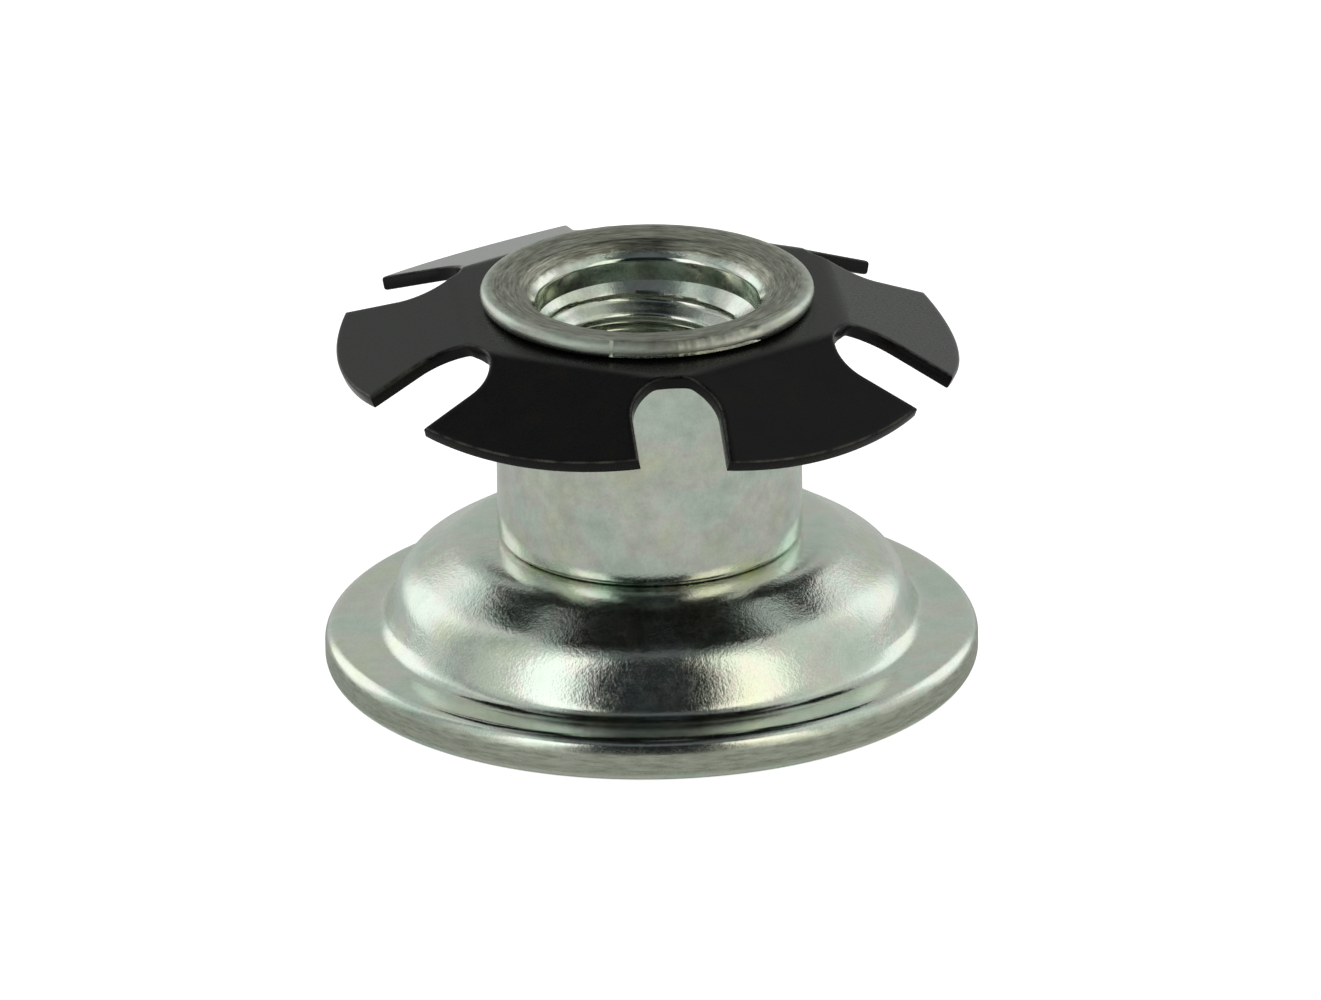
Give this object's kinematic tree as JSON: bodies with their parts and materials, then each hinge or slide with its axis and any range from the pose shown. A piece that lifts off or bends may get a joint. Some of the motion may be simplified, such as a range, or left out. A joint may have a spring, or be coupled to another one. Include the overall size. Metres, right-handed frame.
{
  "type": "threaded tube insert",
  "caption": "Domed end cap, threaded barrel and spring star washer staked together: pressed into the end of a round tube to take a threaded foot or castor stem.",
  "frame": {"origin": "centre of the flange's underside, on the bore's axis", "axes": "+Z along the bore from the flange to the washer, the way the insert goes into a tube; -Y is the side the picture shows"},
  "size_m": [0.0254, 0.0254, 0.0158],
  "materials": {
    "zinc_sheet": "satin",
    "zinc_turned": "satin",
    "black_spring_steel": "satin"
  },
  "bodies": {
    "root": {"base_cap": "zinc_sheet", "threaded_barrel": "zinc_turned", "star_washer": "black_spring_steel"}
  },
  "joints": []
}
